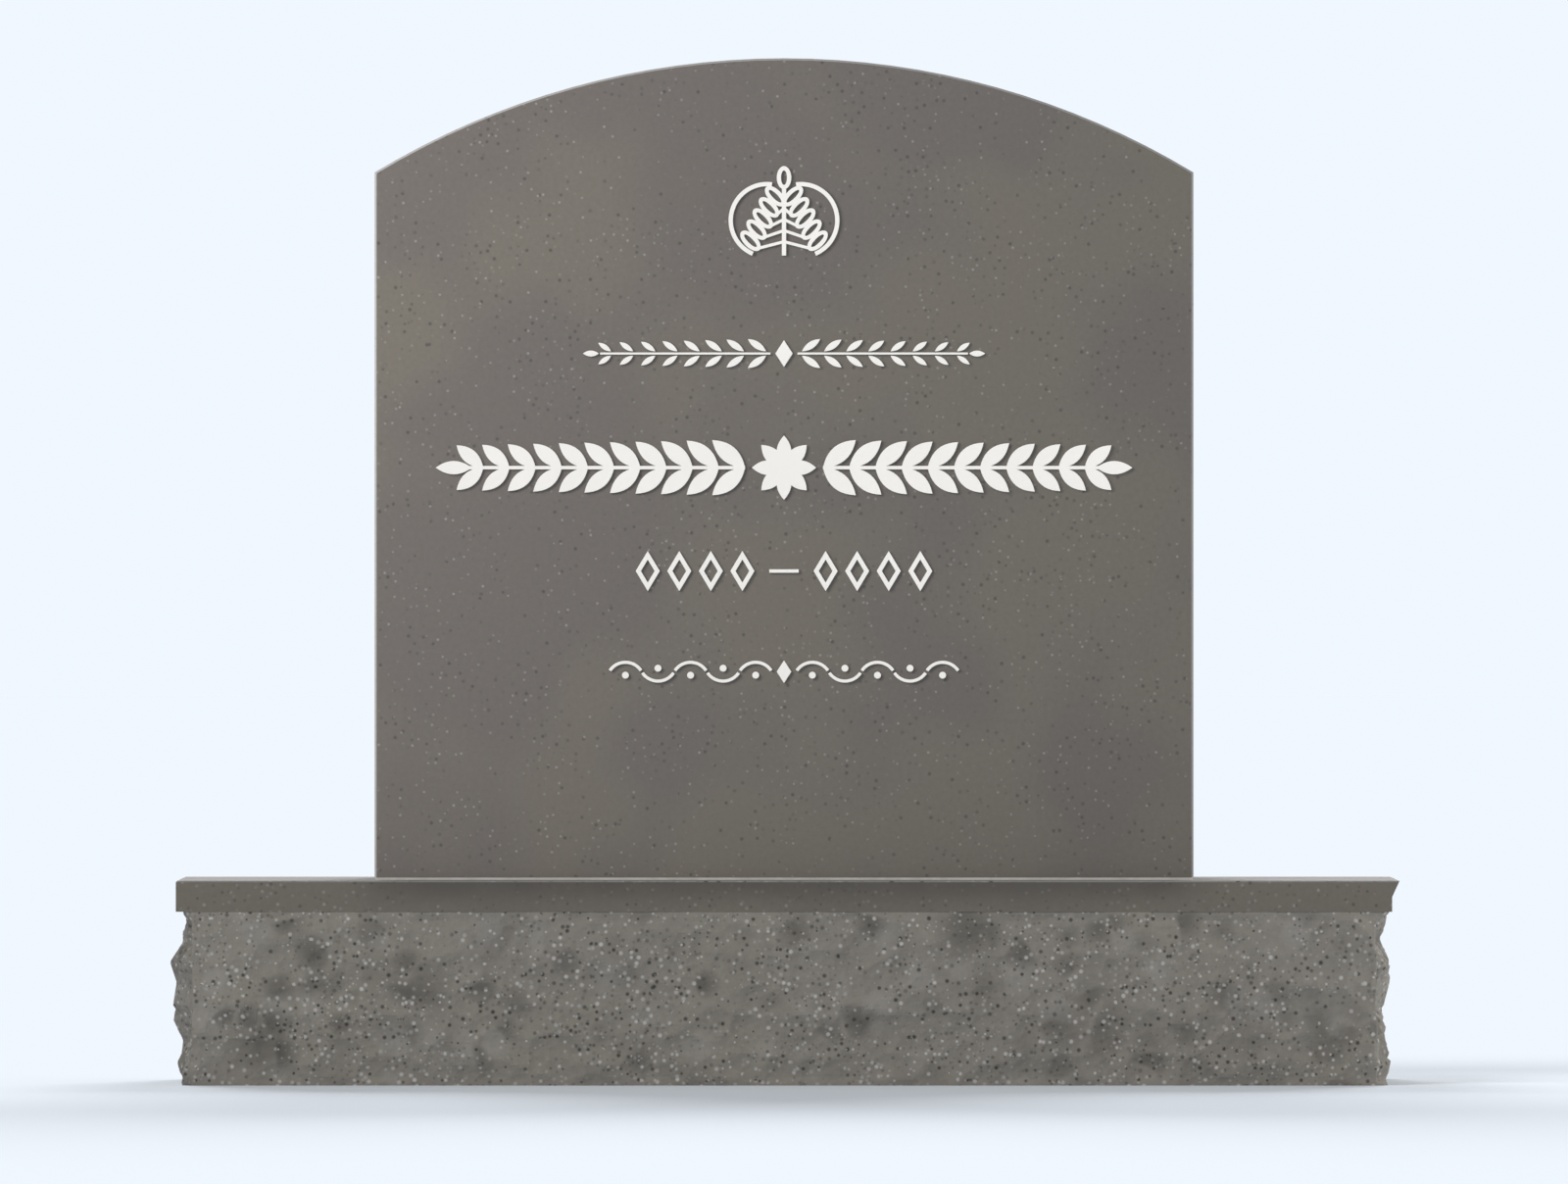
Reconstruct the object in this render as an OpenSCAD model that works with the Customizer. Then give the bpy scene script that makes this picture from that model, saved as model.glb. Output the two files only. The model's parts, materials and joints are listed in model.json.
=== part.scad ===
// Upright memorial stone: an arched tablet standing on a base with rock-pitched sides.
// Millimetres, +Z up, front towards -Y, origin at the centre of the base's underside.

/* [Tablet] */
// Width of the tablet
tablet_w = 610; // [560:1:660]
// Height of the tablet at the crown of its arch
tablet_h = 610; // [590:1:660]
// Thickness of the tablet
tablet_d = 152; // [100:1:200]
// Rise of the arched top above the shoulders
arch_rise = 85; // [60:1:110]
// Width of the honed arris round the tablet's faces
tablet_arris = 1.5; // [1:0.5:4]

/* [Base] */
// Width of the base over the smooth margin
base_w = 903; // [850:1:950]
// Depth of the base over the smooth margin
base_d = 294; // [260:1:320]
// Height of the base
base_h = 152; // [140:1:180]
// Height of the smooth margin below the top of the base
margin_h = 23; // [18:1:30]
// Width of the honed arris round the top of the base
base_arris = 1; // [0.5:0.5:3]
// How far the rock face stands proud of the smooth margin at most
rock_reach = 5.5; // [4:0.5:8]
// Seed of the rock face's chips
rock_seed = 11; // [1:1:50]

/* [Setting] */
// Thickness of the bed between base and tablet
bed_h = 2; // [1:0.5:4]
// How far the bed is kept back from the tablet's faces
bed_inset = 0.5; // [0.5:0.5:6]

/* [Ornament] */
// How far the ornament stands proud of the tablet
relief = 2; // [1:0.5:4]
// Width of the emblem's lines
line_w = 3.2; // [2.5:0.1:3.6]
// Leaf pairs on each half of the garland
garland_pairs = 11; // [6:1:11]
// Leaf pairs on each half of the upper spray
spray_pairs = 8; // [4:1:9]
// Lozenges on each side of the centre rule
lozenge_count = 4; // [2:1:4]
// Waves on each half of the lower scroll
scroll_waves = 5; // [3:1:6]

/* [Hidden] */
$fn = 48;

granite = [0.47, 0.45, 0.42];
compound = [0.62, 0.61, 0.59];
enamel = [0.95, 0.95, 0.92];

// Heights above the underside of the base
margin_z = base_h - margin_h;
tablet_z = base_h + bed_h;

// Heights of the ornament's centres above the foot of the tablet
emblem_z = 496;
spray_z = 390;
garland_z = 305;
lozenge_z = 228;
scroll_z = 153;

// ---- base ----

// Heights of the rows of chips on a rock face as tall as the bulge tables, and their scale to this one
table_rows = [0, 15, 31, 46, 61, 76, 91, 106, 121, 129];
row_scale = margin_z / 129;
rock_rows = [for (row = table_rows) row * row_scale];
// Chips along the front and along one end
front_chips = 30;
end_chips = 10;
ring_size = 2 * (front_chips + end_chips);
// The rock runs up into the smooth slab this far
rock_lap = 5;
// How far the rock face is cut back at the vertical corners
corner_cut = 3;
// How deep the chips are on the ends and on the long faces
end_chip = 2.5;
front_chip = 3.5;
// How far a bulge of an end wanders up and down
end_drift = 40;

// Bulge tables: how far each rock face stands out from the margin at a height, [height, distance]
left_bulge = [[0, -4.3], [15, 0], [31, -1.7], [46, 5.4], [76, 0.7], [91, 5.5], [106, -3.9], [129, -4.1]];
right_bulge = [
    [0, -0.1], [15, 2.9], [31, -1], [46, -3.5], [61, -4.2],
    [76, -0.1], [91, 1.8], [106, -4.1], [121, 0.1], [129, -0.1],
];
face_bulge = [[0, -2.5], [20, 0.5], [60, 2.5], [100, 1.5], [118, 0], [129, -1]];

chips = rands(0, 1, ring_size * len(rock_rows), rock_seed);
function chip(i, k) = chips[k * ring_size + i];

// The first and last rows stay nearly straight, where the rock meets the ground and the smooth margin
edge_share = 0.25;
function calm(z) = z == 0 || z >= margin_z ? edge_share : 1;
function bulge(z, table) = min(rock_reach, lookup(z / row_scale, table));

// Distance of the rock from the margin. An end keeps one uncut ridge, which gives it its outline.
// To both sides of that ridge the bulges wander up and down, and nothing stands out past it.
function end_out(x, i, k, z) =
    let (
        table = x > 0 ? right_bulge : left_bulge,
        ridge = i == right_ridge || i == left_ridge,
        drift = ridge ? 0 : end_drift * calm(z) * (chip(i, 0) - 0.5),
        depth = ridge ? 0 : end_chip * calm(z) * chip(i, k)
    )
    min(bulge(z, table), bulge(z + drift, table)) - depth;
function face_out(i, k, z) =
    min(rock_reach, bulge(z, face_bulge) + front_chip * calm(z) * (2 * chip(i, k) - 1));

// Corners of the ring, counted anticlockwise from the front left one
front_right = front_chips;
back_right = front_right + end_chips;
back_left = back_right + front_chips;
right_ridge = front_right + 4;
left_ridge = back_left + 6;

// Point i of the margin's rectangle
function margin_point(i) =
    let (hx = base_w / 2, hy = base_d / 2)
    i <= front_right ? [-hx + base_w * i / front_chips, -hy]
    : i <= back_right ? [hx, -hy + base_d * (i - front_right) / end_chips]
    : i <= back_left ? [hx - base_w * (i - back_right) / front_chips, hy]
    : [-hx, hy - base_d * (i - back_left) / end_chips];

// Point i of the rock face at row k
function ring_point(i, k, z) =
    let (
        p = margin_point(i),
        on_face = i <= front_right || (i >= back_right && i <= back_left),
        on_end = i == 0 || i >= back_left || (i >= front_right && i <= back_right),
        cut = on_face && on_end ? corner_cut : 0,
        out_x = on_end ? end_out(p[0], i, k, z) - cut : 0,
        out_y = on_face ? face_out(i, k, z) - cut : 0
    )
    [p[0] + sign(p[0]) * out_x, p[1] + sign(p[1]) * out_y, z];

module rock_body() {
    rows = concat(rock_rows, [margin_z + rock_lap]);
    n = ring_size;
    last = len(rows) - 1;
    points = concat(
        [for (k = [0:last]) for (i = [0:n - 1]) ring_point(i, min(k, last - 1), rows[k])],
        [[0, 0, 0], [0, 0, rows[last]]]
    );
    foot = len(points) - 2;
    crown = len(points) - 1;
    sides = [
        for (k = [0:last - 1]) for (i = [0:n - 1]) for (half = [0, 1])
            let (a = k * n + i, b = k * n + (i + 1) % n, c = b + n, d = a + n)
            half == 0 ? [a, d, c] : [a, c, b]
    ];
    caps = [
        for (i = [0:n - 1]) for (half = [0, 1])
            let (j = (i + 1) % n)
            half == 0 ? [foot, i, j] : [crown, last * n + j, last * n + i]
    ];
    polyhedron(points = points, faces = concat(sides, caps), convexity = 4);
}

// The sawn top with its smooth margin. The right end keeps the rough lip of the pitched block.
module margin_slab() {
    hx = base_w / 2;
    hy = base_d / 2;
    lip_h = 12;
    intersection() {
        rotate([90, 0, 0])
            linear_extrude(base_d, center = true)
                polygon([
                    [-hx, margin_z], [hx, margin_z], [hx, base_h - lip_h], [hx + rock_reach, base_h],
                    [-hx + base_arris, base_h], [-hx, base_h - base_arris],
                ]);
        rotate([90, 0, 90])
            linear_extrude(base_w + 4 * rock_reach, center = true)
                polygon([
                    [-hy, margin_z], [hy, margin_z], [hy, base_h - base_arris],
                    [hy - base_arris, base_h], [base_arris - hy, base_h], [-hy, base_h - base_arris],
                ]);
    }
}

module base() {
    color(granite) union() {
        rock_body();
        margin_slab();
    }
}

// ---- tablet ----

module setting_bed() {
    color(compound)
        translate([0, 0, base_h + bed_h / 2])
            cube([tablet_w - 2 * bed_inset, tablet_d - 2 * bed_inset, bed_h], center = true);
}

// A disc on edge whose crown is the arch, with a honed arris at both rims
module arch_blank() {
    arch_r = (pow(tablet_w / 2, 2) + pow(arch_rise, 2)) / (2 * arch_rise);
    translate([0, 0, tablet_h - arch_r])
        rotate([90, 0, 0]) union() {
            cylinder(r = arch_r, h = tablet_d - 2 * tablet_arris, center = true);
            for (side = [0, 1])
                mirror([0, 0, side])
                    translate([0, 0, tablet_d / 2 - tablet_arris])
                        cylinder(r1 = arch_r, r2 = arch_r - tablet_arris, h = tablet_arris);
        }
}

module tablet() {
    hx = tablet_w / 2;
    hy = tablet_d / 2;
    c = tablet_arris;
    color(granite)
        translate([0, 0, tablet_z])
            intersection() {
                linear_extrude(tablet_h)
                    polygon([
                        [c - hx, -hy], [hx - c, -hy], [hx, c - hy], [hx, hy - c],
                        [hx - c, hy], [c - hx, hy], [-hx, hy - c], [-hx, c - hy],
                    ]);
                arch_blank();
            }
}

// ---- ornament: raised pieces on the tablet's face, drawn flat in X and Y ----

// Lays its children on the face, with their centre at a height above the tablet's foot
module on_face(z) {
    translate([0, -tablet_d / 2, tablet_z + z])
        rotate([90, 0, 0])
            color(enamel) children();
}

// Its children are drawn for the right half, and sign -1 mirrors them to the left
module half(sign) {
    if (sign > 0) children();
    else mirror([1, 0, 0]) children();
}

function ellipse_points(rx, ry) = [for (a = [0:10:350]) [rx * cos(a), ry * sin(a)]];

function leaf_points(length, width) = concat(
    [for (t = [-1:0.2:1]) [t * length / 2, (1 - t * t) * width / 2]],
    [for (t = [0.8:-0.2:-0.8]) [t * length / 2, (t * t - 1) * width / 2]]
);

module leaf(length, width) {
    linear_extrude(relief) polygon(leaf_points(length, width));
}

// A leaf whose foot is at the origin and whose tip points along an angle
module leaf_at(x, y, angle, length, width) {
    translate([x, y, 0]) rotate([0, 0, angle]) translate([length / 2, 0, 0]) leaf(length, width);
}

module leaf_loop(rx, ry) {
    linear_extrude(relief)
        difference() {
            polygon(ellipse_points(rx, ry));
            polygon(ellipse_points(rx - line_w, ry - line_w));
        }
}

module bar(from, to, width) {
    step = to - from;
    translate([from[0], from[1], 0])
        rotate([0, 0, atan2(step[1], step[0])])
            translate([0, -width / 2, 0])
                cube([norm(step), width, relief]);
}

module arc(radius, width, from, sweep) {
    rotate([0, 0, from])
        rotate_extrude(angle = sweep)
            translate([radius - width / 2, 0]) square([width, relief]);
}

module lozenge(width, height) {
    linear_extrude(relief)
        polygon([[0, -height / 2], [width / 2, 0], [0, height / 2], [-width / 2, 0]]);
}

module hollow_lozenge(width, height, edge) {
    linear_extrude(relief)
        difference() {
            polygon([[0, -height / 2], [width / 2, 0], [0, height / 2], [-width / 2, 0]]);
            polygon([
                [0, edge - height / 2], [width / 2 - edge * width / height, 0],
                [0, height / 2 - edge], [edge * width / height - width / 2, 0],
            ]);
        }
}

// Emblem: a stem with a bud, five looped leaves on each side and a framing arc
leaf_long = 9.6;
leaf_short = 5;
leaf_tilt = 45;
loop_count = 5;
loop_first = [25, -22];
loop_step = [-4.6, 8.3];
arc_centre = [12.7, -6.8];
arc_r = 27;
stem_foot = -33;
stem_head = 18;
branch_rise = 5;
branch_w = 2.2;

function loop_centre(n) = loop_first + n * loop_step;

module emblem_stem() {
    bud_half = 8.6;
    on_face(emblem_z) union() {
        bar([0, stem_foot], [0, stem_head], line_w);
        translate([0, stem_head + bud_half - line_w / 2, 0]) leaf_loop(5.4, bud_half);
    }
}

module emblem_half(sign) {
    on_face(emblem_z) half(sign) difference() {
        union() {
            translate([arc_centre[0], arc_centre[1], 0]) arc(arc_r, line_w, -67, 165);
            for (n = [0:loop_count - 1]) {
                at = loop_centre(n);
                tip = at - (leaf_long - line_w / 2) * [cos(leaf_tilt), sin(leaf_tilt)];
                translate([at[0], at[1], 0]) rotate([0, 0, leaf_tilt]) leaf_loop(leaf_long, leaf_short);
                if (tip[0] > line_w) bar([0, tip[1] + branch_rise], tip, branch_w);
            }
        }
        translate([line_w / 2 - 2 * arc_r, -2 * arc_r, -relief]) cube([2 * arc_r, 4 * arc_r, 3 * relief]);
    }
}

// Upper spray: a fine stem with small paired leaves set just clear of it, each side of a lozenge
module upper_lozenge() {
    on_face(spray_z) lozenge(13, 20);
}

module upper_spray(sign) {
    start = 10;
    pitch = 16.5;
    stem_w = 1.6;
    splay = 34;
    gap = 0.8;
    length = 16.5;
    width = 5.2;
    tip_length = 12;
    tip_width = 4.5;
    foot = stem_w / 2 + gap;
    end = start + pitch * (spray_pairs - 0.3);
    on_face(spray_z) half(sign) {
        bar([start, 0], [end, 0], stem_w);
        for (n = [0:spray_pairs - 1]) for (side = [-1, 1])
            leaf_at(
                start + pitch * (n + 0.2), foot * side, splay * side, length - 0.7 * n, width - 0.2 * n
            );
        leaf_at(end + gap, 0, 0, tip_length, tip_width);
    }
}

// Garland: a bold stem with broad paired leaves, one half each side of a rosette
module garland_rosette() {
    petals = 8;
    petal_length = 24;
    petal_width = 11;
    heart_r = 7;
    on_face(garland_z) union() {
        cylinder(r = heart_r, h = relief);
        for (n = [0:petals - 1])
            leaf_at(0, 0, n * 360 / petals, petal_length, petal_width);
    }
}

module garland(sign) {
    start = 29;
    pitch = 19.5;
    stem_w = 2.6;
    splay = 40;
    length = 32;
    width = 12.5;
    tip_length = 27;
    tip_width = 10;
    end = start + pitch * (garland_pairs - 0.4);
    on_face(garland_z) half(sign) union() {
        bar([start, 0], [end, 0], stem_w);
        for (n = [0:garland_pairs - 1]) for (side = [-1, 1])
            leaf_at(start + pitch * n, 0, splay * side, length - 0.6 * n, width - 0.2 * n);
        leaf_at(end - line_w, 0, 0, tip_length, tip_width);
    }
}

// Middle row: a short rule between hollow lozenges
module centre_rule() {
    on_face(lozenge_z) bar([-11, 0], [11, 0], 2.6);
}

module lozenges(sign) {
    first = 31;
    pitch = 23.5;
    on_face(lozenge_z) half(sign)
        for (n = [0:lozenge_count - 1])
            translate([first + pitch * n, 0, 0]) hollow_lozenge(18, 30, 6.5);
}

// Lower scroll: a running wave of separate arcs with a bead under each, either side of a lozenge
module lower_lozenge() {
    on_face(scroll_z) lozenge(11, 17);
}

module lower_scroll(sign) {
    start = 9;
    wave_r = 14;
    reach = 120;
    stroke = 2.4;
    bead_r = 2.6;
    end_gap = 4;
    chord = 2 * wave_r * sin(reach / 2);
    drop = wave_r * cos(reach / 2);
    on_face(scroll_z) half(sign)
        for (n = [0:scroll_waves - 1]) {
            up = n % 2 == 0 ? 1 : -1;
            translate([start + chord * (n + 0.5), -up * drop, 0])
                arc(wave_r, stroke, 90 * up - reach / 2 + end_gap, reach - 2 * end_gap);
            translate([start + chord * (n + 0.5), -up * bead_r, 0])
                cylinder(r = bead_r, h = relief);
        }
}

base();
setting_bed();
tablet();
emblem_stem();
emblem_half(-1);  // emblem_left
emblem_half(1);  // emblem_right
upper_lozenge();
upper_spray(-1);  // upper_spray_left
upper_spray(1);  // upper_spray_right
garland_rosette();
garland(-1);  // garland_left
garland(1);  // garland_right
centre_rule();
lozenges(-1);  // lozenges_left
lozenges(1);  // lozenges_right
lower_lozenge();
lower_scroll(-1);  // lower_scroll_left
lower_scroll(1);  // lower_scroll_right
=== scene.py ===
"""Looks of the curved top headstone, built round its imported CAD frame.

Metres, +Z up, the ornamented face towards -Y, as in the frame.
"""

import json
import math

import bpy
import numpy as np
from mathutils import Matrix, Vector
from mathutils.kdtree import KDTree

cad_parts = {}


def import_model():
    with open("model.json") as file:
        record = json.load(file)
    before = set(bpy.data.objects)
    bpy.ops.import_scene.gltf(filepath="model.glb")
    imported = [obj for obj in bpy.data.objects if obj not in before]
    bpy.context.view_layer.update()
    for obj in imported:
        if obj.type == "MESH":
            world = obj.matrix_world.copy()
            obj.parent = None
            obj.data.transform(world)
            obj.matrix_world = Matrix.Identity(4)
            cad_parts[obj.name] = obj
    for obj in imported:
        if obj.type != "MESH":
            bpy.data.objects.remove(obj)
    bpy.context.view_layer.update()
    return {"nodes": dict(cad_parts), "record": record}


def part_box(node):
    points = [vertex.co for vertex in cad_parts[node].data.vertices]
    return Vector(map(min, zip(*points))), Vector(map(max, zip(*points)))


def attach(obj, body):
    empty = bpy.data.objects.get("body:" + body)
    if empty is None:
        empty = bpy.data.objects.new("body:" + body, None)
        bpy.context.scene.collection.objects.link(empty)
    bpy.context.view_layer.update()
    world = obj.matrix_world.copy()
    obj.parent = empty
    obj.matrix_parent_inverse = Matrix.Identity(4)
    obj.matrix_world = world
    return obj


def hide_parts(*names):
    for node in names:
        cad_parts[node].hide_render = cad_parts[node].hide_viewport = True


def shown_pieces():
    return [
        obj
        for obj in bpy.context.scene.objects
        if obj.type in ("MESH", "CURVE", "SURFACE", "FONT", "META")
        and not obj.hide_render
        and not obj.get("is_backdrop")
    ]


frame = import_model()

TABLET_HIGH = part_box("tablet")[1]
BASE_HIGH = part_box("base")[1]

# The base's smooth margin and how far the rock face may stand proud of it
ROCK_REACH = 0.0055
MARGIN_H = 0.023
MARGIN_X = BASE_HIGH.x - ROCK_REACH
MARGIN_Y = BASE_HIGH.y - ROCK_REACH
MARGIN_Z = BASE_HIGH.z - MARGIN_H
BASE_ARRIS = 0.001
# Places closer than this are the same
TINY = 1e-6


# ---- material helpers ----

# The smallest and largest grain, in radii, and the faintest and strongest, as shares
GRAIN_SIZES = 0.6, 1.3
GRAIN_STRENGTHS = 0.3, 1.0
# A patch fades out over this distance from its cell's edge, in pitches
PATCH_FADE = 0.16


def shader_node(tree, kind, inputs=None, **settings):
    """A node with its settings made and its inputs set to values or linked to sockets."""
    made = tree.nodes.new(kind)
    for name, value in settings.items():
        setattr(made, name, value)
    for name, value in (inputs or {}).items():
        if isinstance(value, bpy.types.NodeSocket):
            tree.links.new(value, made.inputs[name])
        else:
            made.inputs[name].default_value = value
    return made


def math_node(tree, operation, a, b=0.0):
    return shader_node(tree, "ShaderNodeMath", {0: a, 1: b}, operation=operation).outputs[0]


def mix_colour(tree, share, a, b, blend="MIX"):
    """Colour a with b mixed in by a share, each a colour or a socket."""
    a, b = (value if isinstance(value, bpy.types.NodeSocket) else (*value, 1) for value in (a, b))
    mix = shader_node(
        tree, "ShaderNodeMix", {0: share, 6: a, 7: b}, data_type="RGBA", blend_type=blend
    )
    return mix.outputs[2]


def map_range(tree, value, low, high, to_low=0.0, to_high=1.0):
    """Value from low..high carried smoothly to to_low..to_high."""
    inputs = {"Value": value, "From Min": low, "From Max": high, "To Min": to_low, "To Max": to_high}
    return shader_node(tree, "ShaderNodeMapRange", inputs, interpolation_type="SMOOTHSTEP").outputs[0]


def noise(tree, place, size, detail=2.0, roughness=0.5):
    """Noise whose blotches are about a size across, in metres."""
    inputs = {"Vector": place, "Scale": 1 / size, "Detail": detail, "Roughness": roughness}
    return shader_node(tree, "ShaderNodeTexNoise", inputs).outputs[0]


def uneven(tree, place, size, low=0.0, high=1.0, detail=2.0, roughness=0.5, spread=(0.3, 0.7)):
    """A value that wanders from low to high, in blotches about a size across."""
    return map_range(tree, noise(tree, place, size, detail, roughness), *spread, low, high)


def cells_at(tree, place, pitch, shift, **settings):
    """Cells of random shape, about a pitch across. Another shift gives other cells."""
    moved = shader_node(
        tree, "ShaderNodeVectorMath", {0: place, 1: (shift, shift, shift)}, operation="ADD"
    ).outputs[0]
    return shader_node(tree, "ShaderNodeTexVoronoi", {"Vector": moved, "Scale": 1 / pitch}, **settings)


def specks(tree, place, pitch, radius, share, shift=0.0, core=0.3):
    """Round grains of varied size and strength, in a share of the cells, solid out to core of their reach."""
    cells = cells_at(tree, place, pitch, shift)
    chance = shader_node(tree, "ShaderNodeSeparateColor", {"Color": cells.outputs["Color"]})
    smallest, largest = (factor * radius / pitch for factor in GRAIN_SIZES)
    reach = map_range(tree, chance.outputs[1], 0, 1, smallest, largest)
    distance = math_node(tree, "DIVIDE", cells.outputs["Distance"], reach)
    grain = map_range(tree, distance, core, 1.0, 1.0, 0.0)
    strength = map_range(tree, chance.outputs[2], 0, 1, *GRAIN_STRENGTHS)
    present = math_node(tree, "LESS_THAN", chance.outputs[0], share)
    return math_node(tree, "MULTIPLY", math_node(tree, "MULTIPLY", grain, strength), present)


def soft_patches(tree, place, pitch, radius, share, shift):
    """Wide soft specks that fade out before they reach the next cell."""
    edges = cells_at(tree, place, pitch, shift, feature="DISTANCE_TO_EDGE")
    fade = map_range(tree, edges.outputs["Distance"], 0.0, PATCH_FADE)
    patch = specks(tree, place, pitch, radius, share, shift, core=0.0)
    return math_node(tree, "MULTIPLY", patch, fade)


def new_material(name):
    """A plain node material, with its tree, its shader and its object coordinates."""
    material = bpy.data.materials.new(name)
    material.use_nodes = True
    tree = material.node_tree
    shader = tree.nodes["Principled BSDF"]
    place = tree.nodes.new("ShaderNodeTexCoord").outputs["Object"]
    return material, tree, shader, place


def add_bump(tree, shader, height, distance):
    bump = shader_node(tree, "ShaderNodeBump", {"Height": height, "Distance": distance})
    tree.links.new(bump.outputs[0], shader.inputs["Normal"])


# ---- materials ----

# Each finish of the granite is made of two tones
MARGIN = (0.114, 0.097, 0.076), (0.104, 0.090, 0.073)
POLISHED = (0.108, 0.094, 0.076), (0.096, 0.083, 0.073)
# The bevelled edges: paler partly as honed stone is, and partly as a painted highlight
HONED_AND_HIGHLIT = (0.235, 0.227, 0.215), (0.225, 0.217, 0.207)
SAWN = (0.205, 0.195, 0.184), (0.195, 0.186, 0.176)
BROKEN = (0.209, 0.194, 0.169), (0.202, 0.188, 0.166)
# The dark tone of the tablet's painted shadow on the margin
TABLET_SHADOW_TONE = (0.051, 0.043, 0.033)
DARK_GRAIN = (0.036, 0.033, 0.029)
PALE_GRAIN = (0.46, 0.45, 0.43)
COMPOUND = (0.50, 0.48, 0.45), (0.58, 0.56, 0.53)
ENAMEL = (0.90, 0.865, 0.81), (0.88, 0.845, 0.79)

# The tablet's shadow painted on the margin below it: its strength at the top, the part left at the foot, and
# how softly it ends
SHADOW_SHARE = 0.88
SHADOW_FOOT = 0.05
SHADOW_FADE = 0.032

# Clouded places on the rock: pitch, radius, share of the cells, shift, strength and tone
ROCK_PATCHES = (
    (0.044, 0.029, 0.60, 5.2, 0.52, DARK_GRAIN),
    (0.024, 0.016, 0.60, 7.7, 0.55, DARK_GRAIN),
    (0.026, 0.018, 0.60, 9.4, 0.15, PALE_GRAIN),
)


def stone_colour(tree, place, finish):
    """Granite: clouds of the finish's two tones, a hand wide, with a fine mottle."""
    clouds = uneven(tree, place, size=0.13, detail=1.5, spread=(0.40, 0.62))
    colour = mix_colour(tree, clouds, *finish)
    mottle = uneven(tree, place, size=0.004, low=0.96, high=1.04, detail=3, roughness=0.6)
    grey = shader_node(tree, "ShaderNodeCombineColor", {0: mottle, 1: mottle, 2: mottle}).outputs[0]
    return mix_colour(tree, 1.0, colour, grey, "MULTIPLY")


def add_grains(tree, place, colour, share, radius, pitch, dark, pale):
    """Colour with dark and pale grains of given strengths, thicker in some places than in others."""
    thin, thick = 0.45 * share, 1.5 * share
    density = uneven(tree, place, size=0.045, low=thin, high=thick, spread=(0.35, 0.65))
    dark_spots = specks(tree, place, pitch, radius, density)
    # The pale grains have cells of their own
    pale_spots = specks(tree, place, 1.04 * pitch, radius, density, shift=3.1)
    colour = mix_colour(tree, math_node(tree, "MULTIPLY", dark_spots, dark), colour, DARK_GRAIN)
    return mix_colour(tree, math_node(tree, "MULTIPLY", pale_spots, pale), colour, PALE_GRAIN)


def polished_colour(tree, place, finish):
    """The polished stone in a finish, with fine sparse grains."""
    colour = stone_colour(tree, place, finish)
    return add_grains(tree, place, colour, 0.6, radius=0.0015, pitch=0.0054, dark=0.75, pale=0.24)


def polish(tree, shader, place):
    """A clear shine, a little uneven from hand polishing."""
    rough = uneven(tree, place, size=0.02, low=0.19, high=0.24, detail=4)
    tree.links.new(rough, shader.inputs["Roughness"])
    add_bump(tree, shader, noise(tree, place, size=0.004, detail=1), 0.000006)


def polished_granite():
    """The tablet's polished stone."""
    material, tree, shader, place = new_material("polished_granite")
    tree.links.new(polished_colour(tree, place, POLISHED), shader.inputs["Base Color"])
    polish(tree, shader, place)
    return material


def margin_granite():
    """The base's smooth margin: the polished stone, with a painted shadow below the tablet, darkest at the
    top.
    """
    material, tree, shader, place = new_material("margin_granite")
    axes = shader_node(tree, "ShaderNodeSeparateXYZ", {"Vector": place}).outputs
    edge = TABLET_HIGH.x
    side = math_node(tree, "ABSOLUTE", axes["X"])
    across = map_range(tree, side, edge - SHADOW_FADE, edge + SHADOW_FADE, 1.0, 0.0)
    down = map_range(tree, axes["Z"], MARGIN_Z, BASE_HIGH.z, SHADOW_FOOT, 1.0)
    blotches = uneven(tree, place, size=0.03, low=0.8, high=1.0, detail=3)
    # Painted shadow of the tablet: as wide as the tablet, strongest at the margin's top, in soft blotches
    shadowed = math_node(tree, "MULTIPLY", math_node(tree, "MULTIPLY", across, down), blotches)
    share = math_node(tree, "MULTIPLY", shadowed, SHADOW_SHARE)
    colour = mix_colour(tree, share, polished_colour(tree, place, MARGIN), TABLET_SHADOW_TONE)
    tree.links.new(colour, shader.inputs["Base Color"])
    polish(tree, shader, place)
    return material


def honed_and_highlit_granite():
    """Unpolished cut edge: the same stone, matt and paler, partly as honed stone is and partly as a painted
    highlight along the tablet's edges.
    """
    material, tree, shader, place = new_material("honed_and_highlit_granite")
    colour = stone_colour(tree, place, HONED_AND_HIGHLIT)
    colour = add_grains(tree, place, colour, 0.4, radius=0.0012, pitch=0.0056, dark=0.5, pale=0.2)
    tree.links.new(colour, shader.inputs["Base Color"])
    shader.inputs["Roughness"].default_value = 0.6
    shader.inputs["Specular IOR Level"].default_value = 0.3
    add_bump(tree, shader, noise(tree, place, size=0.0015, detail=3), 0.00008)
    return material


def sawn_granite():
    """The base's flat top, sawn and left matt."""
    material, tree, shader, place = new_material("sawn_granite")
    colour = stone_colour(tree, place, SAWN)
    colour = add_grains(tree, place, colour, 0.8, radius=0.0020, pitch=0.0056, dark=0.8, pale=0.5)
    tree.links.new(colour, shader.inputs["Base Color"])
    shader.inputs["Roughness"].default_value = 0.85
    shader.inputs["Specular IOR Level"].default_value = 0.1
    add_bump(tree, shader, noise(tree, place, size=0.002, detail=3), 0.00005)
    return material


def rock_granite():
    """Broken face: dense grains, round soft dark patches of two sizes and pale blooms."""
    material, tree, shader, place = new_material("rock_granite")
    colour = stone_colour(tree, place, BROKEN)
    for pitch, radius, share, shift, strength, tone in ROCK_PATCHES:
        patch = soft_patches(tree, place, pitch, radius, share, shift)
        colour = mix_colour(tree, math_node(tree, "MULTIPLY", patch, strength), colour, tone)
    colour = add_grains(tree, place, colour, 0.95, radius=0.0018, pitch=0.0046, dark=0.9, pale=0.8)
    tree.links.new(colour, shader.inputs["Base Color"])
    shader.inputs["Roughness"].default_value = 0.85
    shader.inputs["Specular IOR Level"].default_value = 0.2
    add_bump(tree, shader, noise(tree, place, size=0.003, detail=5, roughness=0.6), 0.0003)
    return material


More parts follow.
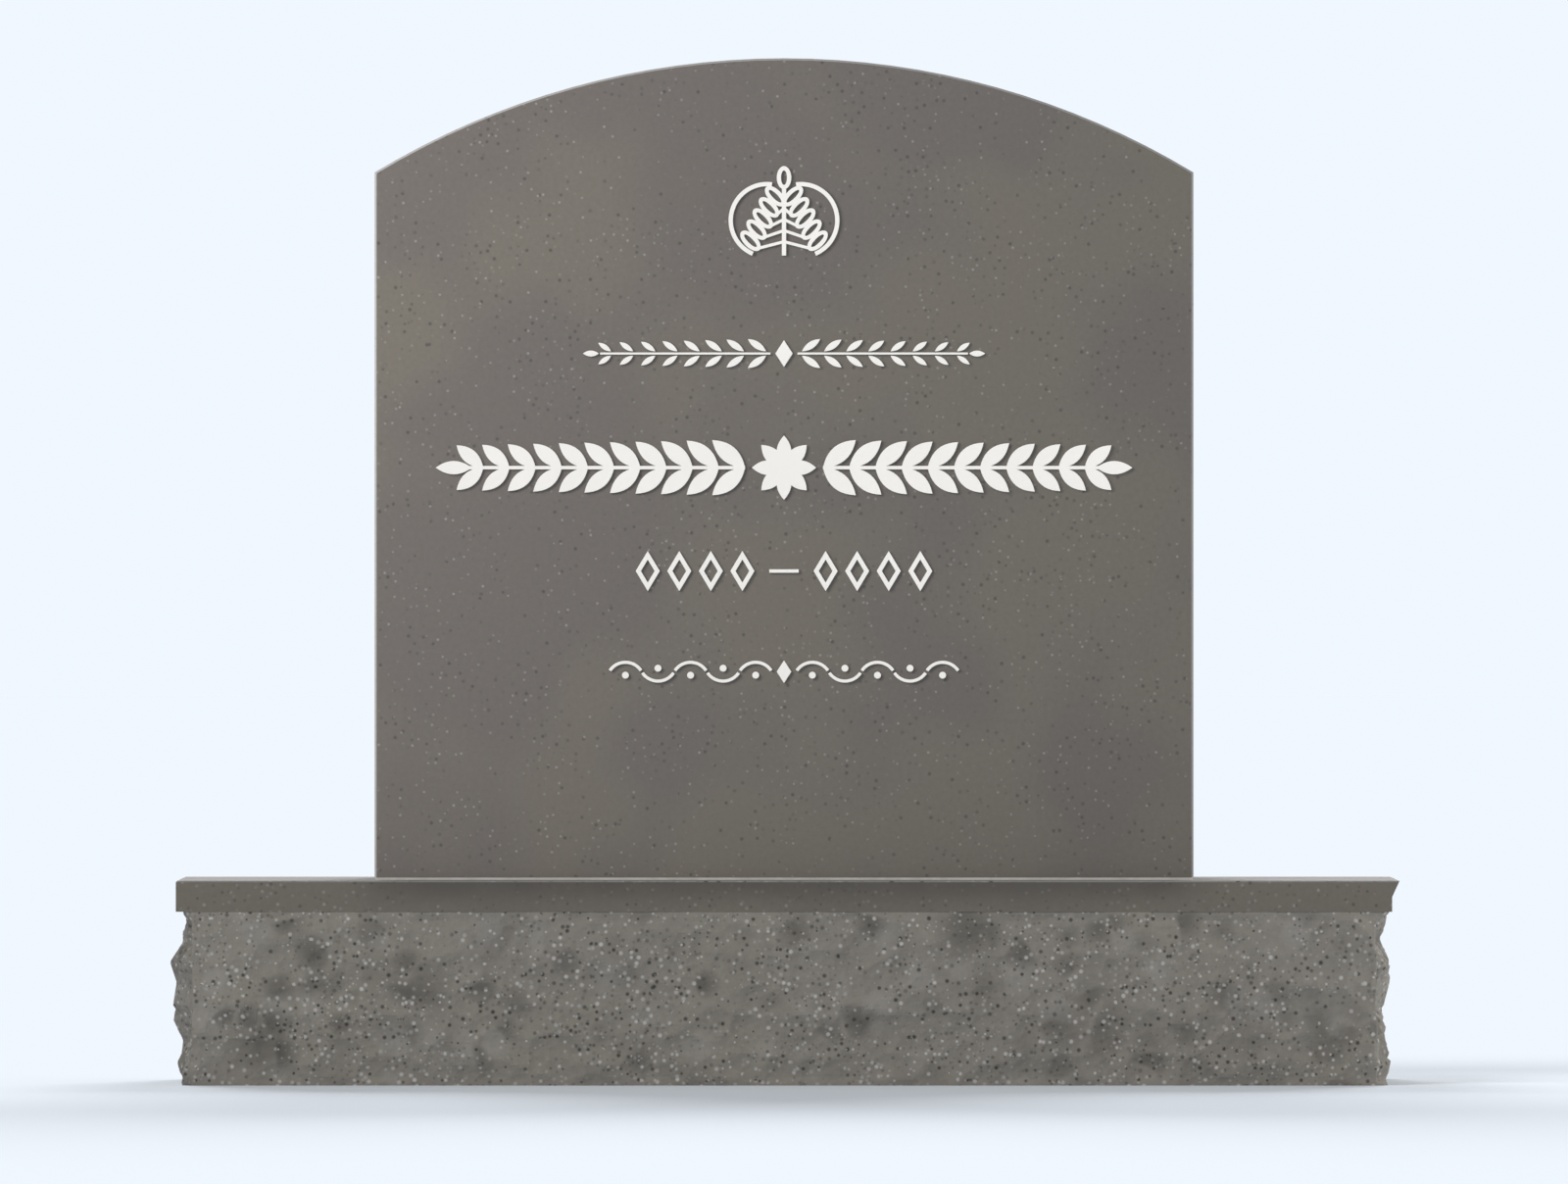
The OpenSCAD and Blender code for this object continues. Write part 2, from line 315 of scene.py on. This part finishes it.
def setting_compound():
    """Pale grey setting compound pressed between the stones and tooled off."""
    material, tree, shader, place = new_material("setting_compound")
    colour = mix_colour(tree, uneven(tree, place, size=0.01, detail=4), *COMPOUND)
    tree.links.new(colour, shader.inputs["Base Color"])
    shader.inputs["Roughness"].default_value = 0.85
    add_bump(tree, shader, noise(tree, place, size=0.002, detail=3), 0.0002)
    return material


def white_enamel():
    """Satin white enamel, very slightly uneven."""
    material, tree, shader, place = new_material("white_enamel")
    colour = mix_colour(tree, uneven(tree, place, size=0.03, detail=4), *ENAMEL)
    tree.links.new(colour, shader.inputs["Base Color"])
    rough = uneven(tree, place, size=0.006, low=0.32, high=0.45, detail=3)
    tree.links.new(rough, shader.inputs["Roughness"])
    add_bump(tree, shader, noise(tree, place, size=0.0015), 0.00006)
    return material


# ---- the base ----

rng = np.random.default_rng(7)

# Spacing of the rock mesh
ROCK_STEP = 0.0022
# Chips of three sizes, each with its pitch and depth
CHIPS = (0.055, 0.0023), (0.019, 0.0010), (0.0075, 0.0003)
# A chip's middle lies between these shares of its cell, and its floor is up to this share of its depth higher
CHIP_MIDDLE = 0.1, 0.9
CHIP_FLOOR = 0.8
# A place on the rock takes the lowest of this many nearest chips
CHIPS_NEAR = 5
# The chips on the ends are this many times deeper than on the long faces
END_RELIEF = 1.8
# Near the foot and the margin all chips are shallower, from a share of their depth to all of it over a height
EDGE_SHARE = 0.2
EDGE_H = 0.006
# The ends' bulges wander up and down by this much, in waves of so many radians a metre
DRIFT = 0.024
DRIFT_ACROSS = 31
DRIFT_UP = 40
DRIFT_START = 2
# The upright corners are rounded over a width and cut back by a depth
CORNER_W = 0.012
CORNER_CUT = 0.003
# The rock's top edge is this far inside the margin
TOP_INSET = 0.0003
# How far the rock stands out from the margin at a height, both in millimetres
LEFT_BULGE = [(0, -4.3), (15, 0), (31, -1.7), (46, 5.4), (76, 0.7), (91, 5.5), (106, -3.9), (129, -4.1)]
RIGHT_BULGE = [
    (0, -0.1), (15, 2.9), (31, -1), (46, -3.5), (61, -4.2),
    (76, -0.1), (91, 1.8), (106, -4.1), (121, 0.1), (129, -0.1),
]
FACE_BULGE = [(0, -2.5), (20, 0.5), (60, 2.0), (100, 1.5), (118, 0), (129, -0.4)]

# The rough lip along the top of the right end. Its rows of points are at these shares of its height,
# and a chip takes up to a share of its width.
LIP_H = 0.012
LIP_ROWS = 1, 0.75, 0.5
LIP_STEP = 0.004
LIP_CHIP = 0.35
# A face of the slab looks straight up, or at least partly up, when its normal's Z is above these
LEVEL = 0.9
SLOPING = 0.5


def add_mesh(name, verts, faces):
    mesh = bpy.data.meshes.new(name)
    mesh.from_pydata([tuple(v) for v in verts], [], faces)
    mesh.validate()
    piece = bpy.data.objects.new(name, mesh)
    bpy.context.scene.collection.objects.link(piece)
    return piece


def ring_mesh(name, verts, n):
    """A closed mesh of level rings of n points, the lowest first, with a flat cap below and above."""
    rows = len(verts) // n
    faces = [
        (r * n + i, r * n + (i + 1) % n, (r + 1) * n + (i + 1) % n, (r + 1) * n + i)
        for r in range(rows - 1)
        for i in range(n)
    ]
    faces.append(tuple(reversed(range(n))))
    faces.append(tuple((rows - 1) * n + i for i in range(n)))
    return add_mesh(name, verts, faces)


def bulge(table, z):
    """The rock's distance from the margin at heights z, in metres."""
    heights, distances = np.array(table, float).T / 1000
    return np.interp(z, heights, distances)


def scallops(u, z, length, pitch, depth):
    """Concave chips a pitch across that meet in sharp ridges: about 0 in the dishes, depth at a ridge."""
    columns, rows = round(length / pitch), round(MARGIN_Z / pitch) + 2
    seeds = [
        ((i + rng.uniform(*CHIP_MIDDLE)) * length / columns, (j - 1 + rng.uniform(*CHIP_MIDDLE)) * pitch)
        for i in range(columns)
        for j in range(rows + 1)
    ]
    floors = rng.uniform(0, CHIP_FLOOR, len(seeds)) * depth
    tree = KDTree(3 * len(seeds))
    for turn in (-1, 0, 1):
        for index, (su, sz) in enumerate(seeds):
            tree.insert((su + turn * length, sz, 0), index)
    tree.balance()
    gain = depth / (pitch / 2) ** 2
    return np.array([
        min(floors[index] + gain * distance**2 for _, index, distance in tree.find_n((a, b, 0), CHIPS_NEAR))
        for a, b in zip(u, z)
    ])


def rock_path():
    """Points of the margin's outline, seen from above, anticlockwise from the front left corner."""
    corners = [
        (-MARGIN_X, -MARGIN_Y), (MARGIN_X, -MARGIN_Y), (MARGIN_X, MARGIN_Y), (-MARGIN_X, MARGIN_Y)
    ]
    points = []
    for (ax, ay), (bx, by) in zip(corners, corners[1:] + corners[:1]):
        count = round(math.hypot(bx - ax, by - ay) / ROCK_STEP)
        share = np.arange(count) / count
        points.append(np.stack([ax + (bx - ax) * share, ay + (by - ay) * share], 1))
    return np.concatenate(points)


def end_distance(x, y, z, chips):
    """How far the ends stand out. Seen from the front, their outline is the bulge and no chip passes it."""
    drift = DRIFT * np.sin(DRIFT_ACROSS * y + np.sign(x)) * np.sin(DRIFT_UP * z + DRIFT_START)
    on_end = np.abs(np.abs(x) - MARGIN_X) < TINY
    distance = np.zeros(x.shape)
    for side, table in ((-1, LEFT_BULGE), (1, RIGHT_BULGE)):
        this_side = np.sign(x) == side
        outline = bulge(table, z)
        rough = np.minimum(outline, bulge(table, np.clip(z + drift, 0, MARGIN_Z))) + chips
        furthest = np.where(on_end & this_side, rough, -1).max(1, keepdims=True)
        distance = np.where(this_side, rough + outline - furthest, distance)
    return distance


def base_rock():
    """The rock-pitched block below the margin, one closed mesh."""
    path = rock_path()
    steps = np.linalg.norm(np.roll(path, -1, 0) - path, axis=1)
    length = steps.sum()
    heights = np.linspace(0, MARGIN_Z, round(MARGIN_Z / ROCK_STEP) + 1)
    x, z = np.meshgrid(path[:, 0], heights)
    y = np.broadcast_to(path[:, 1], x.shape)
    along = np.broadcast_to(np.cumsum(steps) - steps, x.shape)
    relief = sum(
        scallops(along.ravel(), z.ravel(), length, pitch, depth) for pitch, depth in CHIPS
    ).reshape(x.shape)
    relief -= relief.mean()
    calm = np.clip(np.minimum(z, MARGIN_Z - z) / EDGE_H, EDGE_SHARE, 1)
    face = bulge(FACE_BULGE, z) + calm * relief
    end = end_distance(x, y, z, END_RELIEF * calm * relief)
    # A point moves out only near its own side, and a corner's points move back a little
    near_end = np.clip(1 - (MARGIN_X - np.abs(x)) / CORNER_W, 0, 1)
    near_face = np.clip(1 - (MARGIN_Y - np.abs(y)) / CORNER_W, 0, 1)
    corner = CORNER_CUT * (near_end * near_face)
    furthest = np.where(z > MARGIN_Z - TINY, -TOP_INSET, ROCK_REACH)
    out_x = np.minimum(end, furthest) * near_end - corner
    out_y = np.minimum(face, furthest) * near_face - corner
    verts = np.stack([x + np.sign(x) * out_x, y + np.sign(y) * out_y, z], 2).reshape(-1, 3)
    return ring_mesh("base_rock", verts, len(path))


def base_margin():
    """The sawn slab on top with its smooth margin, narrow arrises and the rough lip at the right end."""
    count = round(2 * MARGIN_Y / LIP_STEP)
    ys = np.linspace(-MARGIN_Y, MARGIN_Y, count + 1)
    top = BASE_HIGH.z
    verts = []
    for z in (MARGIN_Z, *(top - share * LIP_H for share in LIP_ROWS), top - BASE_ARRIS, top):
        inset = BASE_ARRIS if z == top else 0
        lip = ROCK_REACH * max(0, (z - top + LIP_H) / LIP_H)
        chips = rng.uniform(0, LIP_CHIP, len(ys)) * lip
        # The front corner stays whole, so that the lip's outline keeps its full width
        chips[0] = 0
        verts.append((-MARGIN_X + inset, -MARGIN_Y + inset, z))
        for index, (y, chip) in enumerate(zip(ys, chips)):
            edge = inset if index in (0, count) else 0
            verts.append((MARGIN_X + lip - chip, y - math.copysign(edge, y), z))
        verts.append((-MARGIN_X + inset, MARGIN_Y - inset, z))
    return ring_mesh("base_margin", verts, len(ys) + 2)


def dress(piece, *materials):
    """Give a piece these materials in place of its own."""
    piece.data.materials.clear()
    for material in materials:
        piece.data.materials.append(material)


def dress_base(rock):
    """The rough block and the slab. On the slab the margin is polished, the top sawn and the lip broken."""
    block = base_rock()
    dress(block, rock)
    slab = base_margin()
    dress(slab, margin_granite(), sawn_granite(), rock)
    for face in slab.data.polygons:
        on_lip = face.center.x > MARGIN_X + TINY
        if on_lip and face.normal.z < LEVEL:
            face.material_index = 2
        elif face.normal.z > SLOPING:
            face.material_index = 1
    for piece, slot in ((block, "rock_granite"), (slab, "polished_granite")):
        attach(piece, "root")
        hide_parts("base")


# ---- the tablet, the bed and the ornament ----

# The tablet's bevelled edges are its only faces whose normal has this much of Y
BEVEL_LEAST = 0.3
BEVEL_MOST = 0.9
# The rounding of the ornament's edges and the least turn that counts as an edge
ROUNDING = 0.0003
EDGE_TURN = math.radians(50)
# Triangles that lie this nearly in one plane are one face, and points this close are one point
FLAT_TURN = math.radians(1)
JOINED = 0.00001


def dress_tablet():
    """The CAD tablet keeps its shape. Its narrow bevelled edges are left unpolished, and their paler tone is
    partly a painted highlight.
    """
    tablet = frame["nodes"]["tablet"]
    dress(tablet, polished_granite(), honed_and_highlit_granite())
    for face in tablet.data.polygons:
        bevelled = BEVEL_LEAST < abs(face.normal.y) < BEVEL_MOST
        face.material_index = 1 if bevelled else 0


def round_edges(piece):
    """Round the edges, once the CAD mesh's split edges are joined and its triangles are whole faces."""
    flat = piece.modifiers.new("whole_faces", "DECIMATE")
    flat.decimate_type = "DISSOLVE"
    flat.angle_limit = FLAT_TURN
    bevel = piece.modifiers.new("rounded_edges", "BEVEL")
    bevel.width = ROUNDING
    bevel.segments = 2
    bevel.angle_limit = EDGE_TURN


def dress_ornament(enamel):
    """White enamel on every raised piece, and rounded edges on all but the emblem's tight loops."""
    for row in frame["record"]["subparts"]:
        if row["material_slot"] != "white_enamel":
            continue
        piece = frame["nodes"][row["node"]]
        dress(piece, enamel)
        weld = piece.modifiers.new("joined_edges", "WELD")
        weld.merge_threshold = JOINED
        if not row["node"].startswith("emblem"):
            round_edges(piece)


# ---- stage ----

PALE_BLUE = (0.871, 0.930, 1.0)
# The surround's strength where it lights the object
SURROUND_LIGHT = 0.30
# Half the width of the floor
FLOOR_REACH = 75

# The view: a level look at the front from far away
VIEW_DISTANCE = 20.0
VIEW_WIDTH = 1.1667
VIEW_CENTRE = Vector((0, -0.1, 0.3664))
SENSOR_WIDTH = 36
# Nothing past this distance is drawn
VIEW_END = 200


def camera():
    lens = bpy.data.cameras.new("camera")
    lens.sensor_width = SENSOR_WIDTH
    lens.lens = SENSOR_WIDTH * VIEW_DISTANCE / VIEW_WIDTH
    lens.clip_end = VIEW_END
    piece = bpy.data.objects.new("camera", lens)
    piece.location = VIEW_CENTRE - Vector((0, VIEW_DISTANCE, 0))
    piece.rotation_euler = (math.pi / 2, 0, 0)
    bpy.context.scene.collection.objects.link(piece)
    bpy.context.scene.camera = piece


def world():
    """An even pale surround: the camera and the shine see it at full strength, other light is lower."""
    made = bpy.data.worlds.new("surround")
    bpy.context.scene.world = made
    made.use_nodes = True
    tree = made.node_tree
    light = tree.nodes["Background"]
    light.inputs["Color"].default_value = (1, 1, 1, 1)
    light.inputs["Strength"].default_value = SURROUND_LIGHT
    seen = shader_node(tree, "ShaderNodeBackground", {"Color": (*PALE_BLUE, 1), "Strength": 1.0})
    path = tree.nodes.new("ShaderNodeLightPath").outputs
    share = math_node(tree, "MAXIMUM", path["Is Camera Ray"], path["Is Glossy Ray"])
    share = math_node(tree, "MAXIMUM", share, path["Is Transmission Ray"])
    mix = shader_node(tree, "ShaderNodeMixShader", {0: share, 1: light.outputs[0], 2: seen.outputs[0]})
    tree.links.new(mix.outputs[0], tree.nodes["World Output"].inputs["Surface"])


def floor():
    """A wide matt floor in the surround's colour, which takes the object's shadow."""
    corners = [(-1, -1), (1, -1), (1, 1), (-1, 1)]
    ground = add_mesh("floor", [(x * FLOOR_REACH, y * FLOOR_REACH, 0) for x, y in corners], [(0, 1, 2, 3)])
    material, _, shader, _ = new_material("floor")
    shader.inputs["Base Color"].default_value = (*PALE_BLUE, 1)
    shader.inputs["Roughness"].default_value = 1
    shader.inputs["Specular IOR Level"].default_value = 0
    dress(ground, material)
    ground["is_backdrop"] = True


def add_light(name, kind, power):
    """A light's settings and its object."""
    lamp = bpy.data.lights.new(name, kind)
    lamp.energy = power
    piece = bpy.data.objects.new(name, lamp)
    bpy.context.scene.collection.objects.link(piece)
    return lamp, piece


def sun(name, azimuth, elevation, power, spread):
    """A soft distant light. Azimuth 0 shines from the front, and positive azimuths from the right."""
    lamp, piece = add_light(name, "SUN", power)
    lamp.angle = math.radians(spread)
    a, e = math.radians(azimuth), math.radians(elevation)
    towards = Vector((math.sin(a) * math.cos(e), -math.cos(a) * math.cos(e), math.sin(e)))
    piece.rotation_euler = towards.to_track_quat("Z", "Y").to_euler()


def wash(name, receivers, place, target, size, power, shine=False):
    """A soft panel that lights only some pieces, and shows in their polish only if it shines."""
    lamp, piece = add_light(name, "AREA", power)
    lamp.size = size
    piece.location = place
    piece.rotation_euler = (Vector(place) - Vector(target)).to_track_quat("Z", "Y").to_euler()
    piece.visible_glossy = shine
    lit = bpy.data.collections.new(name)
    for receiver in receivers:
        lit.objects.link(receiver)
    piece.light_linking.receiver_collection = lit


def suns():
    """The key light from the front left, and two lights from behind that throw the shadow forward."""
    sun("key", azimuth=-35, elevation=40, power=1.0, spread=25)
    sun("back_right", azimuth=166, elevation=23, power=1.99, spread=22)
    sun("back_left", azimuth=194, elevation=23, power=1.99, spread=22)


def washes():
    """One grades the tablet from its upper left, one evens out the rest and one lights the right side."""
    tablet = frame["nodes"]["tablet"]
    others = [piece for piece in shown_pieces() if piece is not tablet]
    wash("tablet_wash", [tablet], (-1.2, -1.0, 1.05), (-0.15, 0, 0.45), size=0.7, power=30, shine=True)
    wash("even_wash", others, (-0.4, -3.0, 0.9), (0, 0, 0.3), size=1.5, power=25)
    wash("edge_wash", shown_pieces(), (2.5, -0.14, 0.5), (0, 0, 0.35), size=0.5, power=34)


# ---- the scene ----

camera()
world()
floor()
suns()

dress_base(rock_granite())
dress_tablet()
dress(frame["nodes"]["setting_bed"], setting_compound())
dress_ornament(white_enamel())
washes()

bpy.context.scene.view_settings.view_transform = "Standard"
